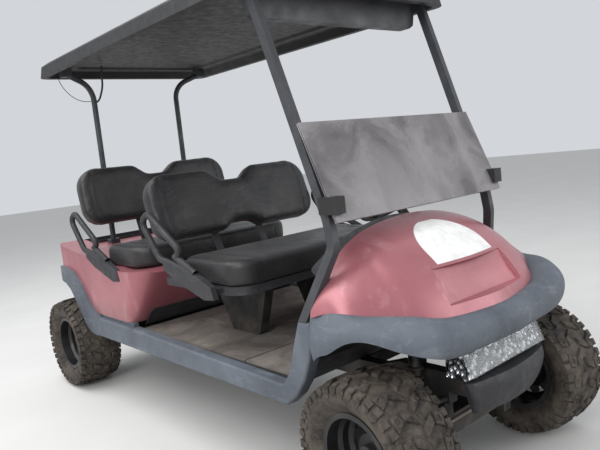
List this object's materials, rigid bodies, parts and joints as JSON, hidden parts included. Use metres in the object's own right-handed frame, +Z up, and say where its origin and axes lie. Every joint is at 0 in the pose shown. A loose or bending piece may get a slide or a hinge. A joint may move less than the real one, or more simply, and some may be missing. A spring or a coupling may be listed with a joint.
{
  "type": "golf cart",
  "caption": "Lifted golf cart with two bench seats facing ahead, a hard roof, a folded tinted windshield, a faded pink body and wide off-road tyres.",
  "frame": {"origin": "middle of the whole cart's bounding box, on the ground", "axes": "+Z up; -Y to the cart's front, +Y to its tail; +X to the cart's left"},
  "size_m": [1.31, 3.1392, 2.056],
  "materials": {
    "tyre": "matt, dusty",
    "wheel_black": "satin",
    "chassis_black": "satin, dusty",
    "bare_steel": "dull",
    "body_pink": "metallic, faded",
    "trim_grey": "weathered",
    "dash_black": "matt",
    "roof_charcoal": "satin",
    "strut_grey": "satin",
    "seat_vinyl": "satin",
    "floor_rubber": "matt, dusty",
    "smoke_glass": "tinted, dusty",
    "lamp_lens": "clear",
    "lamp_red": "gloss",
    "lamp_chrome": "polished",
    "cord_black": "matt",
    "battery_grey": "matt"
  },
  "bodies": {
    "chassis": {"front_suspension": "chassis_black", "front_dampers": "chassis_black", "frame_rails": "chassis_black", "floor_pan": "dash_black", "floor_mats": "floor_rubber", "rocker_panels": "trim_grey", "front_cowl": "body_pink", "front_fender": "trim_grey", "dash_panel": "dash_black", "bumpers": "dash_black", "light_bar_housing": "lamp_chrome", "light_bar_lens": "lamp_lens", "windshield_panels": "smoke_glass", "windshield_clips": "cord_black", "roof_struts": "strut_grey", "roof_canopy": "roof_charcoal", "roof_front_beam": "strut_grey", "rear_body": "body_pink", "rear_fender_flares": "trim_grey", "bag_well": "dash_black", "rear_kick_plate": "dash_black", "tail_lamps": "lamp_red", "battery_block": "battery_grey", "front_seat_cushion": "seat_vinyl", "seat_backs": "seat_vinyl", "front_seat_frame": "dash_black", "seat_supports": "chassis_black", "hip_restraints": "dash_black", "steering_column": "chassis_black", "pedals": "chassis_black", "rear_axle_housing": "chassis_black", "rear_springs": "bare_steel", "roof_lead": "cord_black", "lamp_wire": "cord_black"},
    "rear_seat_lid": {"rear_seat_cushion": "seat_vinyl"},
    "left_knuckle": {"knuckle_left": "chassis_black"},
    "right_knuckle": {"knuckle_right": "chassis_black"},
    "steering_link": {"tie_rod": "bare_steel"},
    "hand_wheel": {"steering_wheel": "dash_black"},
    "wheel_front_left": {"tyre_front_left": "tyre", "rim_front_left": "wheel_black"},
    "wheel_front_right": {"tyre_front_right": "tyre", "rim_front_right": "wheel_black"},
    "wheel_rear_left": {"tyre_rear_left": "tyre", "rim_rear_left": "wheel_black"},
    "wheel_rear_right": {"tyre_rear_right": "tyre", "rim_rear_right": "wheel_black"}
  },
  "joints": [
    {"name": "rear_seat_lid_hinge", "type": "hinge", "parent": "chassis", "child": "rear_seat_lid", "pos_m": [0, 0.3, 0.812], "axis": [1, 0, 0], "range_deg": [0, 70]},
    {"name": "steer_left", "type": "hinge", "parent": "chassis", "child": "left_knuckle", "pos_m": [0.375, -1.279, 0.281], "axis": [0, 0, 1], "range_deg": [-21.2, 28.8]},
    {"name": "steer_right", "type": "hinge", "parent": "chassis", "child": "right_knuckle", "pos_m": [-0.375, -1.279, 0.281], "axis": [0, 0, 1], "range_deg": [-21.2, 28.8]},
    {"name": "steering_link_left_pin", "type": "hinge", "parent": "left_knuckle", "child": "steering_link", "pos_m": [0.34523, -1.39528, 0.323], "axis": [0, 0, 1], "range_deg": [-28.8, 21.2]},
    {"name": "hand_wheel_turn", "type": "hinge", "parent": "chassis", "child": "hand_wheel", "pos_m": [0.27, -0.78, 1.08], "axis": [0, 0.627, 0.779], "range_deg": [-254.4, 345.6]},
    {"name": "roll_front_left", "type": "hinge", "parent": "left_knuckle", "child": "wheel_front_left", "pos_m": [0.49972, -1.28728, 0.281], "axis": [0.9978, -0.0663, 0], "continuous": true},
    {"name": "roll_front_right", "type": "hinge", "parent": "right_knuckle", "child": "wheel_front_right", "pos_m": [-0.49972, -1.27072, 0.281], "axis": [0.9978, -0.0663, 0], "continuous": true},
    {"name": "roll_rear_left", "type": "hinge", "parent": "chassis", "child": "wheel_rear_left", "pos_m": [0.526, 1.279, 0.281], "axis": [1, 0, 0], "continuous": true},
    {"name": "roll_rear_right", "type": "hinge", "parent": "chassis", "child": "wheel_rear_right", "pos_m": [-0.526, 1.279, 0.281], "axis": [1, 0, 0], "continuous": true}
  ],
  "couplings": [
    {"joint": "steer_right", "follows": "steer_left", "ratio": 1},
    {"joint": "steering_link_left_pin", "follows": "steer_left", "ratio": -1},
    {"joint": "hand_wheel_turn", "follows": "steer_left", "ratio": 12}
  ]
}
